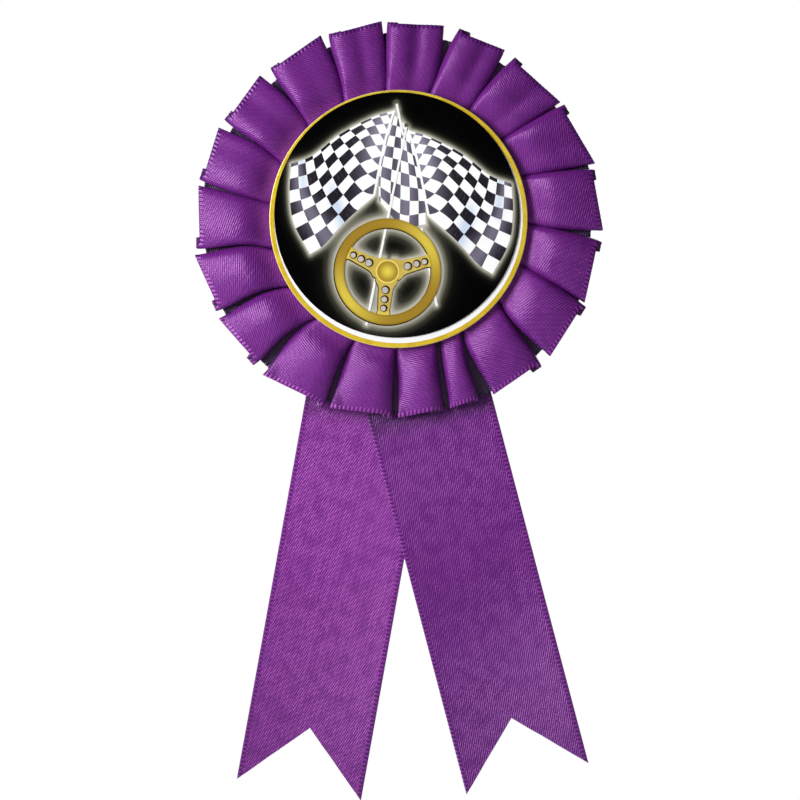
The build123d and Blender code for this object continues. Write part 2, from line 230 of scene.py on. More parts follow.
class Finish:
    """One material and its node tree."""

    def __init__(self, name):
        self.material = bpy.data.materials.new(name)
        self.material.use_nodes = True
        self.tree = self.material.node_tree
        self.tree.nodes.clear()

    def node(self, kind, settings=None, inputs=None, output=0):
        made = self.tree.nodes.new(kind)
        for key, value in (settings or {}).items():
            if key == "stops":
                self.fill_ramp(made.color_ramp, value)
            else:
                setattr(made, key, value)
        for key, value in (inputs or {}).items():
            if isinstance(value, Value):
                self.tree.links.new(value.socket, made.inputs[key])
            else:
                made.inputs[key].default_value = value
        return Value(self, made.outputs[output])

    def fill_ramp(self, ramp, stops):
        while len(ramp.elements) < len(stops):
            ramp.elements.new(0.5)
        for element, (place, colour) in zip(ramp.elements, stops):
            element.position = place
            element.color = colour

    def parts(self, vector):
        """The three numbers of a vector."""
        names = ("X", "Y", "Z")
        made = self.tree.nodes.new("ShaderNodeSeparateXYZ")
        self.tree.links.new(vector.socket, made.inputs[0])
        return [Value(self, made.outputs[name]) for name in names]

    def place(self, scale=1000.0):
        """Object coordinates, in millimetres."""
        here = self.node("ShaderNodeTexCoord", output="Object")
        return self.node("ShaderNodeVectorMath", {"operation": "SCALE"}, {"Vector": here, "Scale": scale})

    def attribute(self, name, output="Fac"):
        return self.node("ShaderNodeAttribute", {"attribute_name": name}, output=output)

    def noise(self, vector, size, detail=2.0, stretch=None):
        """Cloudy noise whose features are about size across."""
        if stretch:
            vector = self.node("ShaderNodeMapping", {}, {"Vector": vector, "Scale": stretch})
        return self.node("ShaderNodeTexNoise", {}, {"Vector": vector, "Scale": 1 / size, "Detail": detail})

    def mix(self, share, first, second, blend="MIX"):
        inputs = {0: share, 6: first, 7: second}
        return self.node("ShaderNodeMix", {"data_type": "RGBA", "blend_type": blend}, inputs, output=2)

    def bump(self, height, distance):
        """A bumped normal; distance is in millimetres."""
        return self.node("ShaderNodeBump", {}, {"Height": height, "Distance": distance * MM})

    def surface(self, base, roughness, normal=None, **constants):
        inputs = {"Base Color": base, "Roughness": roughness}
        if normal is not None:
            inputs["Normal"] = normal
        for key, value in constants.items():
            inputs[key.replace("_", " ")] = value
        shader = self.node("ShaderNodeBsdfPrincipled", {}, inputs)
        made = self.tree.nodes.new("ShaderNodeOutputMaterial")
        self.tree.links.new(shader.socket, made.inputs["Surface"])
        return self.material


def srgb(red, green, blue):
    """A display colour, 0 to 255, as the linear colour that a socket takes."""
    linear = []
    for level in (red, green, blue):
        share = level / 255
        linear.append(share / 12.92 if share <= 0.04045 else ((share + 0.055) / 1.055) ** 2.4)
    return (*linear, 1.0)


# ---------------------------------------------------------------------------------------------
# Finishes
# ---------------------------------------------------------------------------------------------

def satin(name, catch, cord_light, streaks, shine):
    """Woven satin ribbon: twill ribs whose lighter colour is partly painted sheen, corded selvedges whose
    loops carry painted highlight and shade, and painted shade on tucked-in layers.

    catch is how strongly the ribs' painted sheen shows, cord_light how much lighter the selvedge's loops
    are painted than their gaps, streaks how strong the broad streaks are, and shine the strength of the
    gloss.
    """
    finish = Finish(name)
    # light: lilac of the painted sheen and highlights; deep: the darker purple they are painted against;
    # slate: dark of painted shade.
    light, deep, painted_shade_slate = srgb(186, 78, 194), srgb(56, 6, 88), srgb(22, 38, 44)
    flat = finish.attribute("flat", "Vector")
    along, across, _ = finish.parts(flat)
    tuck = finish.attribute("tuck")
    slope = math.radians(RIB_SLOPE)
    over_ribs = along * math.sin(slope) + across * math.cos(slope)
    down_ribs = along * math.cos(slope) - across * math.sin(slope)
    patches = finish.noise(flat, 2.6, 3.0)
    drift = finish.noise(flat, 12.0, 1.0)
    rib_phase = over_ribs * (2 * math.pi / RIB_PITCH) + patches * 1.6
    rib = rib_phase.wave()
    row = (rib_phase / (2 * math.pi)).floor()
    dash = (down_ribs * (2 * math.pi / DASH_LENGTH) + row * DASH_STAGGER + patches * 4.0).wave()
    streak = ((across + along * 0.1) * (2 * math.pi / STREAK_PITCH) + patches * 2.0).wave()
    thread = (along * (2 * math.pi / THREAD_PITCH)).wave()
    strength = patches.ramp(0.32, 0.6, 0.7, 1.0)
    edge = across.math("MINIMUM", across, RIBBON_WIDTH - across)
    border = edge.ramp(BEAD_BAND, BEAD_BAND * 0.8)
    bead = (along * (2 * math.pi / BEAD_PITCH) + math.pi / 2).wave()
    ribs = (rib * (dash * 0.35 + 0.65) + streak * streaks) * strength
    body = finish.mix(drift.ramp(0.3, 0.7), srgb(*DYE), srgb(*(part + 7 for part in DYE)))
    # Painted sheen on the ribs, partly the weave's own two tones: the body darkens towards deep and the ribs
    # lighten towards the lilac, as strongly as catch says.
    base = finish.mix(catch * 0.55, body, deep)
    cloth = finish.mix(ribs * catch, base, light)
    # Selvedge loops painted lighter than their gaps, partly their own look and partly painted highlight and
    # shade; the loops attribute holds a painted brightness that changes round the ring.
    cord = finish.mix(bead * finish.attribute("loops") * cord_light, deep, light)
    colour = finish.mix(border * 0.85, cloth, cord)
    # Painted shade: the cloth goes towards dark slate where the mesh carries painted shade, in the pleats'
    # folds and gaps and on the streamers.
    colour = finish.mix(tuck.clamp(), colour, painted_shade_slate)
    height = ribs * (1 - border) + thread * 0.10 + border * bead * 0.8
    rough = 0.31 - ribs * 0.05 + drift * 0.05
    return finish.surface(
        colour, rough, finish.bump(height, 0.06), Specular_IOR_Level=shine,
        Specular_Tint=(0.86, 0.42, 0.92, 1.0))


def card_stock(name, base, dark):
    """Uncoated card: fibres, a little mottling and soft wear."""
    finish = Finish(name)
    here = finish.place()
    fibre = finish.noise(here, 0.35, 4.0, (1.0, 1.0, 2.6))
    cloud = finish.noise(here, 7.0, 2.0)
    colour = finish.mix(fibre * 0.55 + cloud * 0.35, base, dark)
    return finish.surface(colour, 0.82 + cloud * 0.1, finish.bump(fibre, 0.03), Specular_IOR_Level=0.25)


def hot_glue():
    finish = Finish("hot_glue_amber")
    here = finish.place()
    swirl = finish.noise(here, 2.2, 3.0)
    colour = finish.mix(swirl, srgb(232, 222, 190), srgb(206, 188, 140))
    return finish.surface(
        colour, 0.22 + swirl * 0.2, finish.bump(swirl, 0.2), Subsurface_Weight=0.25, Subsurface_Scale=0.001)


def sewing_thread():
    finish = Finish("sewing_thread_twist")
    here = finish.place()
    x, y, z = finish.parts(here)
    twist = ((x + y * 1.4 + z) * (2 * math.pi / 0.22)).wave()
    colour = finish.mix(twist, srgb(70, 34, 86), srgb(134, 84, 150))
    return finish.surface(colour, 0.7, finish.bump(twist, 0.03), Sheen_Weight=0.4)


def foam_tape():
    finish = Finish("foam_tape_white")
    here = finish.place()
    cells = finish.node("ShaderNodeTexVoronoi", {}, {"Vector": here, "Scale": 2.6})
    colour = finish.mix(cells.clamp(), srgb(216, 214, 206), srgb(242, 241, 236))
    return finish.surface(colour, 0.9, finish.bump(cells, 0.08), Specular_IOR_Level=0.2)


def metal(name, base, worn, rough, grain_size=0.25, grain_stretch=(0.06, 1.0, 1.0)):
    """Plated wire or strip with a drawn grain, faint smudges and lighter rubbed spots."""
    finish = Finish(name)
    here = finish.place()
    grain = finish.noise(here, grain_size, 3.0, grain_stretch)
    smudge = finish.noise(here, 3.4, 3.0)
    colour = finish.mix(smudge.ramp(0.35, 0.75), base, worn)
    roughness = rough + smudge * 0.16 + grain * 0.08
    return finish.surface(colour, roughness, finish.bump(grain, 0.0025), Metallic=1.0)


def white_plastic():
    finish = Finish("white_disc_plastic")
    here = finish.place()
    cloud = finish.noise(here, 5.0, 3.0)
    speck = finish.noise(here, 0.25, 2.0)
    colour = finish.mix(cloud * 0.5, srgb(252, 252, 252), srgb(240, 240, 242))
    return finish.surface(colour, 0.34 + cloud * 0.12, finish.bump(speck, 0.006), Specular_IOR_Level=0.4)


def gold_foil():
    """Hot-stamped gold round the disc, with a painted highlight paler along its outer edge and painted shade
    darker along its inner edge.
    """
    finish = Finish("gold_foil_stamped")
    here = finish.place()
    x, _, z = finish.parts(here)
    radius = (x * x + z * z) ** 0.5
    cloud = finish.noise(here, 3.0, 3.0)
    grain = finish.noise(here, 0.3, 2.0)
    colour = finish.mix(cloud.ramp(0.35, 0.65), srgb(226, 190, 30), srgb(240, 210, 52))
    # Painted highlight along the outer edge, where it rounds over, and painted shade along the inner edge.
    colour = finish.mix(radius.ramp(25.72, 25.95) * 0.55, colour, srgb(250, 226, 160))
    colour = finish.mix(radius.ramp(25.14, 25.0) * 0.45, colour, srgb(176, 128, 20))
    return finish.surface(
        colour, 0.34 + cloud * 0.16, finish.bump(grain, 0.01), Metallic=0.45, Specular_IOR_Level=0.5)


def ink(name, colour_of):
    """Printed ink on smooth stock: colour_of makes the colour from the finish."""
    finish = Finish(name)
    here = finish.place()
    screen = finish.noise(here, 0.5, 2.0)
    return finish.surface(
        colour_of(finish), 0.46 + screen * 0.08, finish.bump(screen, 0.003), Specular_IOR_Level=0.02)


def ground_ink(finish):
    """Black ground with a pale halo, whose strength the mesh carries."""
    glow = finish.attribute("glow")
    stops = [
        (0.0, srgb(1, 1, 2)), (0.2, srgb(16, 16, 13)), (0.45, srgb(58, 57, 48)),
        (0.75, srgb(128, 126, 112)), (1.0, srgb(196, 193, 178)),
    ]
    return finish.node("ShaderNodeValToRGB", {"stops": stops}, {"Fac": glow})


def checker_ink(finish):
    """Black and white squares of a waving flag, greyed where the cloth catches the light."""
    cloth = finish.attribute("lattice", "Vector")
    column, row, hem = finish.parts(cloth)
    light = finish.attribute("lit")
    tint = finish.attribute("tint")
    squares = (column.floor() + row.floor()) * 0.5
    odd = (squares - squares.floor()) * 2
    threads = finish.noise(cloth, 0.16, 2.0, (1.0, 0.25, 1.0))
    dark = finish.mix(light.clamp(), srgb(20, 17, 24), srgb(150, 142, 164))
    dark = finish.mix(threads.ramp(0.5, 0.75) * 0.22, dark, srgb(96, 90, 104))
    pale = finish.mix(tint.clamp(), srgb(254, 254, 254), srgb(186, 206, 232))
    return finish.mix(odd * hem.ramp(0.024, 0.032), pale, dark)


def pole_ink(finish):
    return finish.mix(finish.noise(finish.place(), 1.6), srgb(254, 254, 254), srgb(246, 245, 242))


def finial_ink(finish):
    return finish.mix(finish.noise(finish.place(), 0.5), srgb(52, 50, 40), srgb(120, 116, 92))


def wheel_place(finish):
    """How far out from the wheel's centre, and the turn round it in radians."""
    x, _, z = finish.parts(finish.place())
    x = x - WHEEL_CENTRE[0]
    z = z - WHEEL_CENTRE[1]
    return (x * x + z * z) ** 0.5, z.math("ARCTAN2", z, x)


def rim_ink(finish):
    """Gold that is brightest at the upper right and the lower left of the wheel's rim."""
    radius, angle = wheel_place(finish)
    shine = ((angle - math.radians(35)) * 2 + math.pi / 2).wave() ** 2.2
    colour = finish.mix(shine, srgb(160, 128, 42), srgb(218, 194, 74))
    middle = (WHEEL_OUTER + WHEEL_INNER) / 2
    half = (WHEEL_OUTER - WHEEL_INNER) / 2
    off = ((radius - middle) / half).absolute()
    return finish.mix(off.ramp(0.45, 1.0) * 0.38, colour, srgb(120, 82, 14))


def hub_ink(finish):
    radius, _ = wheel_place(finish)
    colour = finish.mix(radius.ramp(0.0, 2.1), srgb(230, 210, 84), srgb(166, 134, 44))
    return finish.mix(radius.ramp(2.02, 2.16), colour, srgb(236, 214, 110))


def spoke_ink(finish):
    radius, _ = wheel_place(finish)
    colour = finish.mix(finish.noise(finish.place(), 2.2), srgb(180, 150, 58), srgb(220, 200, 104))
    return finish.mix(radius.ramp(7.6, 8.9) * 0.5, colour, srgb(232, 210, 80))


def outline_ink(finish):
    return finish.mix(finish.noise(finish.place(), 2.0), srgb(34, 26, 6), srgb(66, 50, 12))


def hole_ink(finish):
    return finish.mix(finish.noise(finish.place(), 0.8), srgb(212, 204, 200), srgb(168, 160, 156))


# ---------------------------------------------------------------------------------------------
# Ribbon: a closed sheet over a net of points
# ---------------------------------------------------------------------------------------------

def smooth(value):
    value = np.clip(value, 0.0, 1.0)
    return value * value * (3 - 2 * value)


def bead_lobe(along):
    return np.clip(np.cos(along * 2 * math.pi / BEAD_PITCH), 0, 1) ** 0.8


def unit(vectors):
    return vectors / np.maximum(np.linalg.norm(vectors, axis=-1, keepdims=True), 1e-9)


def ribbon(name, middle, along, across, painted_shade_front, painted_shade_back, painted_loop_sheen, closed):
    """A ribbon of real thickness over a net of points, with beaded selvedges.

    middle is columns by rows by 3. The two painted shade arrays say how much painted shade the front and
    back faces carry at each point, such as deep in a fold, and the loop sheen how brightly the selvedge's
    loops are painted there.
    """
    columns, rows = middle.shape[:2]
    if closed:
        run = np.roll(middle, -1, 0) - np.roll(middle, 1, 0)
    else:
        run = np.gradient(middle, axis=0)
    rise = np.gradient(middle, axis=1)
    normal = unit(np.cross(run, rise))
    edge = np.minimum(across, RIBBON_WIDTH - across)
    band = 1 - smooth((edge - BEAD_BAND * 0.75) / (BEAD_BAND * 0.3))
    lobe = bead_lobe(along)
    outward = unit(rise) * np.sign(across - RIBBON_WIDTH / 2)[..., None]
    at_edge = (edge < 0.01)[..., None]
    middle = middle + outward * at_edge * (lobe * BEAD_SCALLOP)[..., None]
    half = HALF_THICK + band * (lobe - 0.35) * BEAD_RISE
    half = half * np.where(edge < 0.01, 0.45, 1.0)
    front = middle + normal * half[..., None]
    back = middle - normal * half[..., None]
    points = np.concatenate([front.reshape(-1, 3), back.reshape(-1, 3)]) * MM
    first = np.arange(columns if closed else columns - 1)
    second = (first + 1) % columns
    low = np.arange(rows - 1)
    a = (first[:, None] * rows + low).ravel()
    b = (second[:, None] * rows + low).ravel()
    skin = np.stack([a, b, b + 1, a + 1], 1)
    shift = columns * rows
    under = skin[:, ::-1] + shift
    sides = [skin, under]
    for row, flip in ((0, False), (rows - 1, True)):
        p = first * rows + row
        q = second * rows + row
        strip = np.stack([p, p + shift, q + shift, q], 1)
        sides.append(strip[:, ::-1] if flip else strip)
    if not closed:
        for column, flip in ((0, True), (columns - 1, False)):
            p = column * rows + low
            strip = np.stack([p, p + shift, p + 1 + shift, p + 1], 1)
            sides.append(strip[:, ::-1] if flip else strip)
    faces = np.concatenate(sides)
    mesh = bpy.data.meshes.new(name)
    mesh.from_pydata(points.tolist(), [], faces.tolist())
    flat = np.stack([along, across, np.zeros_like(along)], -1).reshape(-1, 3)
    store(mesh, "flat", "FLOAT_VECTOR", np.concatenate([flat, flat]))
    # Painted shade for the front and back faces, and the painted brightness of the selvedge loops.
    store(mesh, "tuck", "FLOAT", np.concatenate([painted_shade_front.ravel(), painted_shade_back.ravel()]))
    store(mesh, "loops", "FLOAT", np.tile((painted_loop_sheen * np.ones_like(along)).ravel(), 2))
    mesh.shade_smooth()
    mesh.set_sharp_from_angle(angle=math.radians(62))
    piece = bpy.data.objects.new(name, mesh)
    bpy.context.scene.collection.objects.link(piece)
    return piece


def store(mesh, name, kind, values):
    attribute = mesh.attributes.new(name, kind, "POINT")
    field = "vector" if kind == "FLOAT_VECTOR" else "value"
    attribute.data.foreach_set(field, np.asarray(values, np.float32).ravel())


def polar(radius, clockwise):
    turn = np.radians(clockwise)
    return np.stack([radius * np.sin(turn), radius * np.cos(turn)], -1)


def gap_line(number, radius, outer, rim):
    """Angle of the middle of the gap after a pleat, and half its width, at a radius."""
    end, at_rim, width, bow = (PLEATS[number][k] for k in (1, 4, 5, 6))
    start = PLEATS[(number + 1) % len(PLEATS)][0]
    start += 360 if start < end else 0
    share = min(max((radius - rim) / (outer - rim), 0.0), 1.0)
    middle = at_rim + ((start + end) / 2 - at_rim) * share + bow * 6.75 * share * (1 - share) ** 2
    at_edge = math.radians(start - end) / 2 * outer
    half = width / 2 + (at_edge - width / 2) * share ** GAP_FLARE.get(number, PLAIN_FLARE)
    return middle, half * min(max((radius - 12) / (rim - 12), 0.2), 1.0)


def front_height(share, out, puff):
    """Height of a pleat's front layer over the back one, across (share) and outwards (out)."""
    crown, bow, peak, dip, dip_at, _, rise = puff
    inner = RIM_HEIGHT + (crown - RIM_HEIGHT) * smooth(out / CROWN_AT)
    outer = crown - (crown - LIP_HEIGHT) * np.clip((out - CROWN_AT) / (1 - CROWN_AT), 0, 1) ** 1.7
    level = inner if out < CROWN_AT else outer
    lift = 0.15 + 0.85 * smooth(out / 0.45)
    lean = np.where(share < peak, (peak - share) / peak, (share - peak) / (1 - peak))
    level = level - bow * lean ** 2 * lift + rise * (0.45 - share) * lift
    level = level - dip * np.exp(-((share - dip_at) / 0.16) ** 2) * lift
    return np.maximum(level, RETURN_HEIGHT + 0.7)


def fold_quarters(width, out, puff, at_start):
    """The two quarters of a front fold, from the tucked layer up to the front one."""
    size = min(START_ROUND if at_start else END_ROUND, width * 0.15)
    ease = np.linspace(0, math.pi / 2, 20)
    edge = size * (1 - np.sin(ease))
    s = edge if at_start else width - edge
    top = front_height(s / width, out, puff)
    middle = (RETURN_HEIGHT + top) / 2
    low = middle - (middle - RETURN_HEIGHT) * np.cos(ease)
    high = middle + (top - middle) * np.cos(ease)
    flat = 0 * s
    peek = puff[5] if at_start else 0.0
    lower = (s[1:], low[1:], peek + flat[1:])
    upper = (s[::-1], high[::-1], peek * smooth(1 - s[::-1] / size))
    if at_start:
        return [lower, upper], size
    return [tuple(x[::-1] for x in upper), tuple(x[::-1] for x in lower)], size


def fold_path(width, gap_before, gap_after, out, puff, inset_before, inset_after):
    """One pleat's cross-section: places along the chord, heights and radial offsets."""
    small = RETURN_HEIGHT / 2
    spare = PLEAT_FLAT - width - gap_before - gap_after
    reach = min(spare / 4 - 0.35, width * 0.47) - small
    line = np.linspace(0, 1, 60)
    turn = np.linspace(-math.pi / 2, math.pi / 2, 24)
    start_fold, start_size = fold_quarters(width, out, puff, True)
    end_fold, end_size = fold_quarters(width, out, puff, False)
    flat = 0 * line
    pieces = [
        (-gap_before + (reach + gap_before) * line, flat, inset_before + flat),
        (reach + small * np.cos(turn), small + small * np.sin(turn), inset_before + 0 * turn),
    ]
    s = reach + (start_size - reach) * line
    under = inset_before * smooth((s - HORN_LENGTH) / 0.8)
    peek = puff[5] * (1 - smooth((s - HORN_LENGTH + 0.8) / 0.8))
    pieces.append((s, RETURN_HEIGHT + flat, under + peek))
    pieces += start_fold
    s = start_size + (width - start_size - end_size) * np.linspace(0, 1, 140)
    pieces.append((s, front_height(s / width, out, puff), 0 * s))
    pieces += end_fold
    start = width - end_size
    stop = width - reach
    s = start + (stop - start) * line
    pieces.append((s, RETURN_HEIGHT + flat, inset_after * smooth((start - s) / 1.2)))
    pieces.append((stop - small * np.cos(turn), small - small * np.sin(turn), inset_after + 0 * turn))
    pieces.append((stop + (width + gap_after - stop) * line, flat, inset_after + flat))
    return [np.concatenate([piece[k] for piece in pieces]) for k in range(3)]


def pleated_ring():
    """One ribbon, folded into box pleats all the way round the disc."""
    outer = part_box("pleated_ribbon")[1].x / MM
    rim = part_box("insert_holder")[1].x / MM
    inner = outer - RIBBON_WIDTH
    per_pleat = round(PLEAT_FLAT / BEAD_PITCH * SAMPLES_PER_BEAD)
    columns = per_pleat * len(PLEATS)
    rows = len(PLEAT_ROWS)
    middle = np.zeros((columns, rows, 3))
    heights = np.zeros((columns, rows))
    for j, v in enumerate(PLEAT_ROWS):
        radius = inner + v
        out = max(0.0, (radius - rim) / (outer - rim))
        weight = v / RIBBON_WIDTH
        for number, puff in enumerate(PUFF):
            _, _, start_out, end_out, _, _, _, back_out = PLEATS[number]
            back_before = PLEATS[number - 1][7]
            before, gap_before = gap_line(number - 1, radius, outer, rim)
            after, gap_after = gap_line(number, radius, outer, rim)
            before = before - 360 if before > after else before
            start = before + math.degrees(gap_before / radius)
            end = after - math.degrees(gap_after / radius)
            corner_a = polar(radius + (start_out - outer) * weight ** 2, start)
            corner_b = polar(radius + (end_out - outer) * weight ** 2, end)
            width = float(np.linalg.norm(corner_b - corner_a))
            s, h, o = fold_path(
                width, gap_before, gap_after, out, puff, back_before - outer, back_out - outer)
            length = np.concatenate([[0], np.cumsum(np.hypot(np.diff(s), np.diff(h)))])
            wanted = np.linspace(0, length[-1], per_pleat, endpoint=False)
            s, h, o = (np.interp(wanted, length, x) for x in (s, h, o))
            chord = corner_a + (corner_b - corner_a) * (s / width)[:, None]
            angle = start + np.degrees(s / radius)
            ring = polar(radius * np.ones_like(s), angle)
            lifted = smooth(h / RETURN_HEIGHT)[:, None]
            outward = unit(polar(np.ones_like(s), angle))
            flat = ring + (chord - ring) * lifted + outward * (o * weight)[:, None]
            rows_of = slice(number * per_pleat, (number + 1) * per_pleat)
            middle[rows_of, j, 0] = flat[:, 0]
            middle[rows_of, j, 1] = BACK_LAYER_Y - h
            middle[rows_of, j, 2] = flat[:, 1]
            heights[rows_of, j] = h
    along = np.repeat(np.arange(columns)[:, None] * BEAD_PITCH / SAMPLES_PER_BEAD, rows, 1)
    across = np.repeat(np.array(PLEAT_ROWS, float)[None, :], columns, 0)
    # Painted shade: front faces darken the lower they lie in folds and gaps between pleats, except where the
    # under-fold peeks past the selvedge and is lit; back faces darken under the raised layers.
    edge_light = smooth((across - 24.0) / 0.7) * smooth((heights - 0.35) / 0.2) * 0.8
    front = np.clip(1 - smooth((heights - 0.15) / 1.6), 0, 1) * 0.95 * (1 - edge_light)
    back = smooth((heights - 0.2) / 0.5) * 0.6
    # Painted highlight on the selvedge loops: brightest at the bottom of the ring and dimmest at the top.
    painted_loop_sheen = 0.3 + 0.7 * smooth(0.42 - 0.83 * middle[:, :, 2] / outer)
    return ribbon("pleated_satin", middle, along, across, front, back, painted_loop_sheen, True)


def along_strip(node, origin, direction):
    """How far a node reaches along a strip, and the middle's reach where it is notched."""
    points = [v.co for v in frame["nodes"][node].data.vertices]
    side = Vector((-direction.z, 0, direction.x))
    reach = [((p - origin).dot(direction), abs((p - origin).dot(side))) for p in points]
    centre = [far for far, off in reach if off < 0.2 * MM]
    return min(far for far, _ in reach), max(far for far, _ in reach), max(centre) if centre else None


def strip_wave(far, side, lean):
    """How far a streamer stands forward of its flat place."""
    free = smooth((far - WAVE_START) / 40)
    roll = 0.9 * np.sin(far / 17.0 + 0.6) + 0.5 * np.sin(far / 9.5 + 2.0 + side / 22)
    curl = 0.9 * smooth((far - 92) / 30) * (side / 12.7) * lean
    cup = 0.35 * (side / 12.7) ** 2
    return free * (roll + curl + cup + lean * 0.25)


def streamer(label, joint_name, upper, tail, lean, layer_y):
    """One hanging strip, from its tucked-in end to its notched end."""
    joint = next(j for j in frame["joints"] if j["name"] == joint_name)
    axis = Vector(joint["axis"])
    bend = Vector(joint["pos_m"])
    down = Vector((axis.z, 0, -axis.x))
    top, _, _ = along_strip(upper, bend, down)
    _, tip, notch = along_strip(tail, bend, down)
    origin = Vector((bend.x, 0, bend.z)) / MM
    top, tip, notch = top / MM, tip / MM, notch / MM
    length = tip - top
    depth = tip - notch
    columns = round(length / BEAD_PITCH * SAMPLES_PER_BEAD)
    offsets = np.array(STREAMER_ROWS + [RIBBON_WIDTH - v for v in STREAMER_ROWS[-2::-1]])
    along = np.linspace(0, length, columns)[:, None] * np.ones(len(offsets))
    across = np.ones(columns)[:, None] * offsets
    side = across - RIBBON_WIDTH / 2
    cut = length - depth * (1 - np.abs(side) / (RIBBON_WIDTH / 2))
    ease = length - depth * NOTCH_EASE
    pulled = np.where(along > ease, ease + (along - ease) * (cut - ease) / (length - ease), along)
    fray = 0.07 * np.sin(across * 9.1) * np.sin(across * 23.7)
    pulled = pulled + fray * smooth((along - length + 0.5) / 0.5)
    place = pulled + top
    d = np.array([down.x, down.z])
    s = np.array([axis.x, axis.z])
    x = origin.x + place * d[0] + side * s[0]
    z = origin.z + place * d[1] + side * s[1]
    far = place + bend.dot(down) / MM
    y = layer_y - strip_wave(far, side, lean)
    middle = np.stack([x, y, z], -1)
    # Painted shade: darker towards the tips, and much darker just under the ring, where the ring shades the
    # streamer.
    shade = TAIL_SHADE * smooth((far - 60) / 50) + TOP_SHADE * (1 - smooth((far - 37.5) / 6.5))
    piece = ribbon(label, middle, pulled, across, shade, shade, 1.0, False)
    area = (RIBBON_WIDTH * length - RIBBON_WIDTH * depth / 2) * MM * MM
    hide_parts(upper, tail)
    length * MM
    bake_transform(piece)
    return piece


# ---------------------------------------------------------------------------------------------
# Printed centre
# ---------------------------------------------------------------------------------------------

def select_none():
    if bpy.context.object and bpy.context.object.mode != "OBJECT":
        bpy.ops.object.mode_set(mode="OBJECT")
    bpy.ops.object.select_all(action="DESELECT")


def settle(piece, name):
    """Puts a new object's place into its mesh and names it."""
    bpy.ops.object.transform_apply(location=True, rotation=True, scale=True)
    piece.name = name
    piece.data.name = name
    return piece


def net_point(net, p, q):
    """A point of a smooth surface through a net of points."""
    rows = [curve_point(row, p) for row in net]
    return curve_point(rows, q)


def curve_point(points, share):
    """A Catmull-Rom curve through points, which go on straight past the ends."""
    known = [np.array(point) for point in points]
    known = [known[0] * 2 - known[1], *known, known[-1] * 2 - known[-2]]
    spans = len(points) - 1
    place = min(max(share, 0.0), 1.0) * spans
    i = min(int(place), spans - 1)
    t = place - i
    a, b, c, d = known[i:i + 4]
    square = (2 * a - 5 * b + 4 * c - d) * t ** 2
    cube = (3 * b - a - 3 * c + d) * t ** 3
    return 0.5 * (2 * b + (c - a) * t + square + cube)


def printed_patch(name, net, cuts, lattice_of, lit_of, tint_of, front, mirror=False, hem=True):
    """A printed flag or drape: a fine grid laid over a net of points."""
    select_none()
    bpy.ops.mesh.primitive_grid_add(x_subdivisions=cuts[0], y_subdivisions=cuts[1], size=1)
    piece = bpy.context.object
    settle(piece, name)
    lattice, lit, tint = [], [], []
    for vertex in piece.data.vertices:
        p, q = vertex.co.x + 0.5, vertex.co.y + 0.5
        x, z = net_point(net, p, q)
        if mirror:
            x, z = FLAG_MIRROR - x, z - FLAG_DROP
        vertex.co = Vector((x, front, z)) * MM
        lattice.append((*lattice_of(p, q), p if hem else 1.0))
        lit.append(lit_of(p, q))
        tint.append(tint_of(p, q) if tint_of else 0.0)
    store(piece.data, "lattice", "FLOAT_VECTOR", lattice)
    store(piece.data, "lit", "FLOAT", lit)
    store(piece.data, "tint", "FLOAT", tint)
    face_forward(piece)
    return piece


def face_forward(piece):
    """Turns a flat print's faces to the front and gives it a thin body."""
    mesh = piece.data
    if mesh.polygons[0].normal.y > 0:
        mesh.flip_normals()
    select_none()
    bpy.context.view_layer.objects.active = piece
    piece.select_set(True)
    skin = piece.modifiers.new("body", "SOLIDIFY")
    skin.thickness = PRINT_STEP * 0.8 * MM
    skin.offset = -1
    bpy.ops.object.modifier_apply(modifier=skin.name)
    bpy.ops.object.shade_smooth_by_angle(angle=math.radians(40))


def flag_lattice(p, q):
    row = 1.7 + 7.3 * q
    column = row - 2.9 + (13.9 - row) * p
    return column, row


def flag_lit(p, q):
    column, row = flag_lattice(p, q)
    sheen = math.exp(-((p - 0.06) / 0.17) ** 2) * (1.0 - 0.75 * smooth((q - 0.35) / 0.5))
    fold = math.exp(-((column - 10.4 + 0.12 * row) / 0.7) ** 2) * 0.55
    return min(1.0, max(0.0, sheen + fold + 0.03))


def flag_tint(p, q):
    column, row = flag_lattice(p, q)
    low = math.exp(-((column - 7.5 - 0.2 * (row - 6)) / 0.5) ** 2) * smooth((row - 4.6) / 2)
    high = math.exp(-((column - 9.5) / 0.5) ** 2) * (1 - smooth((row - 4.4) / 1.2))
    return 0.8 * float(low) + 0.6 * float(high)


def drape_lattice(p, q):
    return (p - 0.5) * 4.9 + 20.3, 8.4 * q + 0.35 + 0.5 * (p - 0.5)


def drape_lit(p, q):
    return 0.48 + 0.25 * math.cos(p * 11.0) * (1 - 0.4 * q)


def bar_print(name, start, end, width, front):
    """A narrow printed strip between two points."""
    select_none()
    a, b = Vector(start), Vector(end)
    bpy.ops.mesh.primitive_plane_add(size=1)
    piece = bpy.context.object
    settle(piece, name)
    along = (b - a).normalized()
    off = Vector((-along.y, along.x)) * width / 2
    for vertex in piece.data.vertices:
        at = a if vertex.co.y < 0 else b
        at = at + off * (1 if vertex.co.x > 0 else -1)
        vertex.co = Vector((at.x, front, at.y)) * MM
    face_forward(piece)
    return piece


def round_print(name, centre, radius, front, sides=48, inner=0.0):
    """A printed disc, or a ring where inner is given."""
    select_none()
    place = Vector((centre[0], front, centre[1])) * MM
    bpy.ops.mesh.primitive_circle_add(
        vertices=sides, radius=radius * MM, fill_type="NGON", location=place, rotation=(math.pi / 2, 0, 0))
    piece = bpy.context.object
    if inner:
        bpy.ops.object.mode_set(mode="EDIT")
        bpy.ops.mesh.inset(thickness=(radius - inner) * MM * math.cos(math.pi / sides))
        bpy.ops.mesh.delete(type="FACE")
        bpy.ops.object.mode_set(mode="OBJECT")
    settle(piece, name)
    face_forward(piece)
    return piece


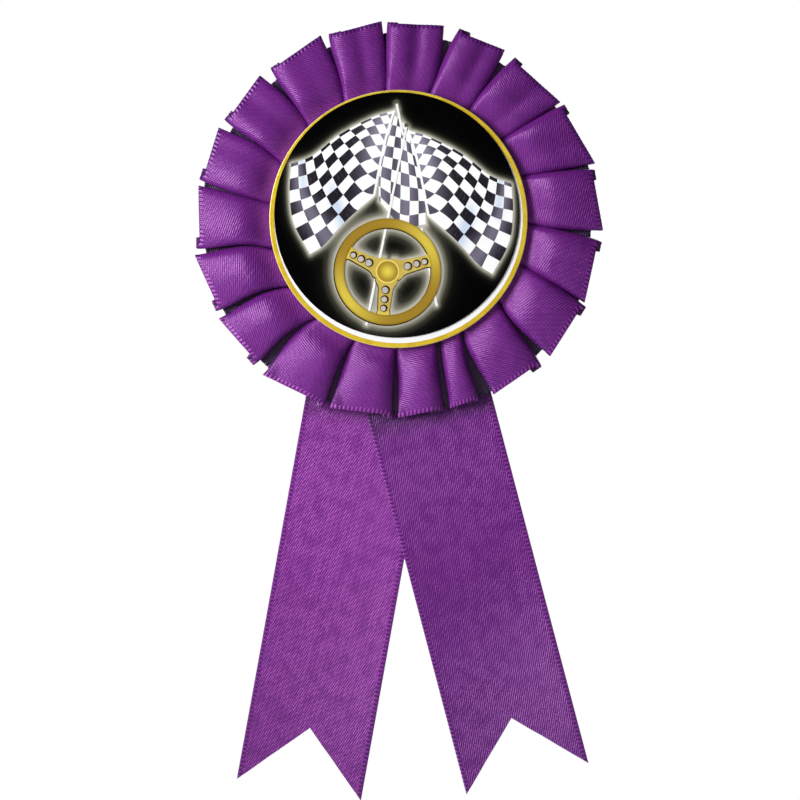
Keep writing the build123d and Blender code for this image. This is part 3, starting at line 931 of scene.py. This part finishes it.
def spoke_print(name, turn, front, grow=0.0, shift=(0, 0)):
    """One spoke: a bar that flares at the hub and at the rim."""
    select_none()
    bpy.ops.mesh.primitive_grid_add(x_subdivisions=1, y_subdivisions=14, size=1)
    piece = bpy.context.object
    settle(piece, name)
    way = Vector((math.cos(math.radians(turn)), math.sin(math.radians(turn))))
    off = Vector((-way.y, way.x))
    centre = Vector(WHEEL_CENTRE) + Vector(shift)
    for vertex in piece.data.vertices:
        share = vertex.co.y + 0.5
        far = 1.2 + (WHEEL_INNER + 0.3 - 1.2) * share
        half = 1.55 - 0.5 * share + 0.75 * math.exp(-((far - 1.9) / 0.8) ** 2)
        half += 0.35 * math.exp(-((far - WHEEL_INNER) / 0.35) ** 2) + grow
        at = centre + way * far + off * half * (1 if vertex.co.x > 0 else -1)
        vertex.co = Vector((at.x, front, at.y)) * MM
    face_forward(piece)
    return piece


def join(name, pieces):
    select_none()
    for piece in pieces:
        piece.select_set(True)
    bpy.context.view_layer.objects.active = pieces[0]
    bpy.ops.object.join()
    pieces[0].name = name
    pieces[0].data.name = name
    return pieces[0]


def insert_ground(shapes):
    """The printed disc, with a halo that follows everything printed on it."""
    low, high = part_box("printed_insert")
    centre = (low + high) / 2
    radius = (high.x - low.x) / 2
    select_none()
    bpy.ops.mesh.primitive_circle_add(
        vertices=240, radius=radius, fill_type="NGON", location=(centre.x, low.y, centre.z),
        rotation=(math.pi / 2, 0, 0))
    piece = bpy.context.object
    bpy.ops.object.mode_set(mode="EDIT")
    edge = 0.12 * MM
    bpy.ops.mesh.inset(thickness=edge)
    for _ in range(GROUND_RINGS):
        bpy.ops.mesh.inset(thickness=(radius - edge) / GROUND_RINGS * 0.992)
    bpy.ops.object.mode_set(mode="OBJECT")
    settle(piece, "insert_print")
    dark = np.ones(len(piece.data.vertices))
    for points, spread in shapes:
        near = KDTree(len(points))
        for number, point in enumerate(points):
            near.insert((point.x, 0, point.z), number)
        near.balance()
        dark *= [1 - halo(near.find((v.co.x, 0, v.co.z))[2] / MM, spread) for v in piece.data.vertices]
    store(piece.data, "glow", "FLOAT", 1 - dark)
    mesh = piece.data
    if mesh.polygons[0].normal.y > 0:
        mesh.flip_normals()
    select_none()
    bpy.context.view_layer.objects.active = piece
    piece.select_set(True)
    body = piece.modifiers.new("body", "SOLIDIFY")
    body.thickness = high.y - low.y
    body.offset = -1
    bpy.ops.object.modifier_apply(modifier=body.name)
    bpy.ops.object.shade_smooth_by_angle(angle=math.radians(30))
    return piece


def halo(distance, spread):
    """Strength of the halo at a distance from a printed shape."""
    return math.exp(-(max(0.0, distance - 0.15) / spread) ** 1.25)


def mesh_points(piece):
    return [v.co.copy() for v in piece.data.vertices]


def printed_centre():
    """The insert with its flags, poles and wheel."""
    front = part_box("printed_insert")[0].y / MM
    layer = [front - PRINT_STEP * k for k in range(1, 9)]
    made = []

    def add(piece, material):
        piece.data.materials.clear()
        piece.data.materials.append(material)
        made.append(piece)
        return piece

    flags = ink("flag_ink", checker_ink)
    left = add(printed_patch(
        "left_flag_print", FLAG_NET, (72, 56), flag_lattice, flag_lit, flag_tint, layer[1]), flags)
    right = add(printed_patch(
        "right_flag_print", FLAG_NET, (72, 56), flag_lattice, flag_lit, flag_tint, layer[1], True), flags)
    drape = add(printed_patch(
        "flag_drape_print", DRAPE_NET, (40, 56), drape_lattice, drape_lit, None, layer[0], hem=False), flags)
    poles = []
    tips = []
    for number, (top, foot) in enumerate(POLES):
        poles.append(bar_print(f"pole_{number}", POLE_SHOWS[number], foot, POLE_WIDTH, layer[2 + number]))
        crown = (top[0] - 0.05, top[1] + 0.15)
        tips.append(round_print(f"tip_{number}", crown, FINIAL_RADIUS, layer[4], 20))
    poles.append(bar_print("pole_upper", POLES[0][0], POLE_GOES_UNDER, POLE_WIDTH, layer[3]))
    pole = join("flag_poles_print", poles)
    add(pole, ink("pole_ink", pole_ink))
    shares = np.linspace(0, 1, 91)
    pole_samples = [
        Vector((a[0] + (b[0] - a[0]) * share, 0, a[1] + (b[1] - a[1]) * share)) * MM
        for a, b in POLES for share in shares]
    add(join("finials_print", tips), ink("finial_ink", finial_ink))
    centre = WHEEL_CENTRE
    shifted = (centre[0] + OUTLINE_SHIFT[0], centre[1] + OUTLINE_SHIFT[1])
    outline = [round_print("outline_rim", shifted, WHEEL_OUTER + 0.08, layer[4], 160, WHEEL_INNER - 0.04)]
    for turn, _ in SPOKES:
        outline.append(spoke_print("outline_spoke", turn, layer[4], 0.06, OUTLINE_SHIFT))
    add(join("wheel_outline_print", outline), ink("outline_ink", outline_ink))
    rim = add(
        round_print("wheel_rim_print", centre, WHEEL_OUTER, layer[6], 160, WHEEL_INNER),
        ink("rim_ink", rim_ink))
    spokes = [spoke_print("spoke", turn, layer[5]) for turn, _ in SPOKES]
    spoke_samples = [point for spoke in spokes for point in mesh_points(spoke)]
    add(join("wheel_spokes_print", spokes), ink("spoke_ink", spoke_ink))
    add(round_print("wheel_hub_print", centre, HUB_RADIUS, layer[7], 64), ink("hub_ink", hub_ink))
    rings, holes = [], []
    for turn, places in SPOKES:
        for k, far in enumerate(places):
            radius = 0.88 - 0.06 * k
            x = centre[0] + far * math.cos(math.radians(turn))
            z = centre[1] + far * math.sin(math.radians(turn))
            rings.append(round_print("hole_edge", (x, z), radius, layer[6], 24))
            holes.append(round_print("hole", (x - 0.12, z - 0.06), radius - 0.24, layer[7], 24))
    add(join("wheel_hole_edges_print", rings), ink("hole_edge_ink", outline_ink))
    add(join("wheel_holes_print", holes), ink("hole_ink", hole_ink))
    shapes = [
        (mesh_points(left) + mesh_points(right) + mesh_points(drape), 0.85),
        (pole_samples, 0.5), (mesh_points(rim), 1.7), (spoke_samples, 1.2),
    ]
    ground = add(insert_ground(shapes), ink("ground_ink", ground_ink))
    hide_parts("printed_insert")
    for piece in made:
        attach(piece, BODY)


# ---------------------------------------------------------------------------------------------
# Stage, light and camera
# ---------------------------------------------------------------------------------------------

def area_light(name, place, target, size, power):
    data = bpy.data.lights.new(name, "AREA")
    data.shape = "DISK"
    data.size = size
    data.energy = power
    lamp = bpy.data.objects.new(name, data)
    lamp.location = place
    lamp.rotation_mode = "QUATERNION"
    lamp.rotation_quaternion = (Vector(target) - Vector(place)).to_track_quat("-Z", "Y")
    bpy.context.scene.collection.objects.link(lamp)


def studio():
    """White surroundings, a key from the left, a low fill from the right and a pale floor."""
    world = bpy.data.worlds.new("studio")
    bpy.context.scene.world = world
    world.use_nodes = True
    nodes, links = world.node_tree.nodes, world.node_tree.links
    nodes.clear()
    seen = nodes.new("ShaderNodeBackground")
    seen.inputs["Color"].default_value = (1, 1, 1, 1)
    soft = nodes.new("ShaderNodeBackground")
    soft.inputs["Color"].default_value = (0.96, 0.97, 1.0, 1)
    soft.inputs["Strength"].default_value = 0.06
    path = nodes.new("ShaderNodeLightPath")
    choose = nodes.new("ShaderNodeMixShader")
    out = nodes.new("ShaderNodeOutputWorld")
    links.new(path.outputs["Is Camera Ray"], choose.inputs[0])
    links.new(soft.outputs[0], choose.inputs[1])
    links.new(seen.outputs[0], choose.inputs[2])
    links.new(choose.outputs[0], out.inputs[0])
    for name, place, size, power in LIGHTS:
        area_light(name, place, LIT_POINT, size, power)
    select_none()
    bpy.ops.mesh.primitive_plane_add(size=0.9, location=(0, 0, FLOOR_LEVEL))
    floor = bpy.context.object
    floor.name = "floor"
    finish = Finish("floor_paper")
    cloud = finish.noise(finish.place(), 60.0)
    colour = finish.mix(cloud, srgb(236, 236, 238), srgb(228, 228, 232))
    floor.data.materials.append(finish.surface(colour, 0.8, Specular_IOR_Level=0.2))


def camera():
    data = bpy.data.cameras.new("camera")
    data.sensor_width = 36
    data.lens = data.sensor_width * CAMERA_DISTANCE / FRAME_ACROSS
    data.clip_start = 0.05
    data.clip_end = 20
    eye = bpy.data.objects.new("camera", data)
    eye.location = Vector((FRAME_CENTRE[0], -CAMERA_DISTANCE, FRAME_CENTRE[1])) * MM
    eye.rotation_euler = (math.pi / 2, 0, 0)
    bpy.context.scene.collection.objects.link(eye)
    bpy.context.scene.camera = eye
    bpy.context.scene.view_settings.view_transform = "Standard"


def dress(node, material):
    """Gives a node of the frame its finish."""
    mesh = frame["nodes"][node].data
    mesh.materials.clear()
    mesh.materials.append(material)


def dress_frame():
    card = card_stock("backing_card_stock", srgb(240, 238, 232), srgb(214, 210, 200))
    grey_card = card_stock("pleat_card_stock", srgb(176, 164, 140), srgb(140, 126, 102))
    glue = hot_glue()
    steel = metal("pin_steel_nickel", srgb(206, 206, 210), srgb(226, 226, 230), 0.24)
    needle = metal("needle_steel_polished", srgb(214, 214, 218), srgb(232, 232, 236), 0.14)
    brass = metal("catch_brass_plate", srgb(206, 164, 84), srgb(228, 194, 120), 0.22)
    staple = metal("staple_wire_zinc", srgb(176, 178, 182), srgb(206, 208, 212), 0.28)
    dress("backing_card", card)
    dress("pleat_card", grey_card)
    dress("rear_glue", glue)
    dress("center_glue", glue)
    dress("pleat_stitching", sewing_thread())
    dress("staples", staple)
    dress("insert_holder", white_plastic())
    dress("gold_rim", gold_foil())
    dress("pin_tape", foam_tape())
    dress("pin_bar", steel)
    dress("pin_arm", needle)
    dress("hinge_rivet", steel)
    dress("catch_barrel", brass)


camera()
studio()
dress_frame()
pleat_satin = satin("pleat_satin", 0.46, 0.66, 0.03, 0.72)
pleats = pleated_ring()
pleats.data.materials.append(pleat_satin)
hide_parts("pleated_ribbon")
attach(pleats, BODY)
left_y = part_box("left_streamer")[0].y / MM + STREAMER_LIFT
right_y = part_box("right_streamer")[0].y / MM + STREAMER_LIFT
left = streamer("left_satin_streamer", "left_tail_flex", "left_streamer", "left_tail", -1.0, left_y)
right = streamer("right_satin_streamer", "right_tail_flex", "right_streamer", "right_tail", 1.0, right_y)
# Lit and shaded copies of the satin: the left streamer's ribs carry a stronger painted sheen than the right
# one's.
left.data.materials.append(satin("left_streamer_satin_strong_sheen", 0.90, 0.50, 0.14, 0.62))
right.data.materials.append(satin("right_streamer_satin_weak_sheen", 0.44, 0.46, 0.06, 0.56))
printed_centre()
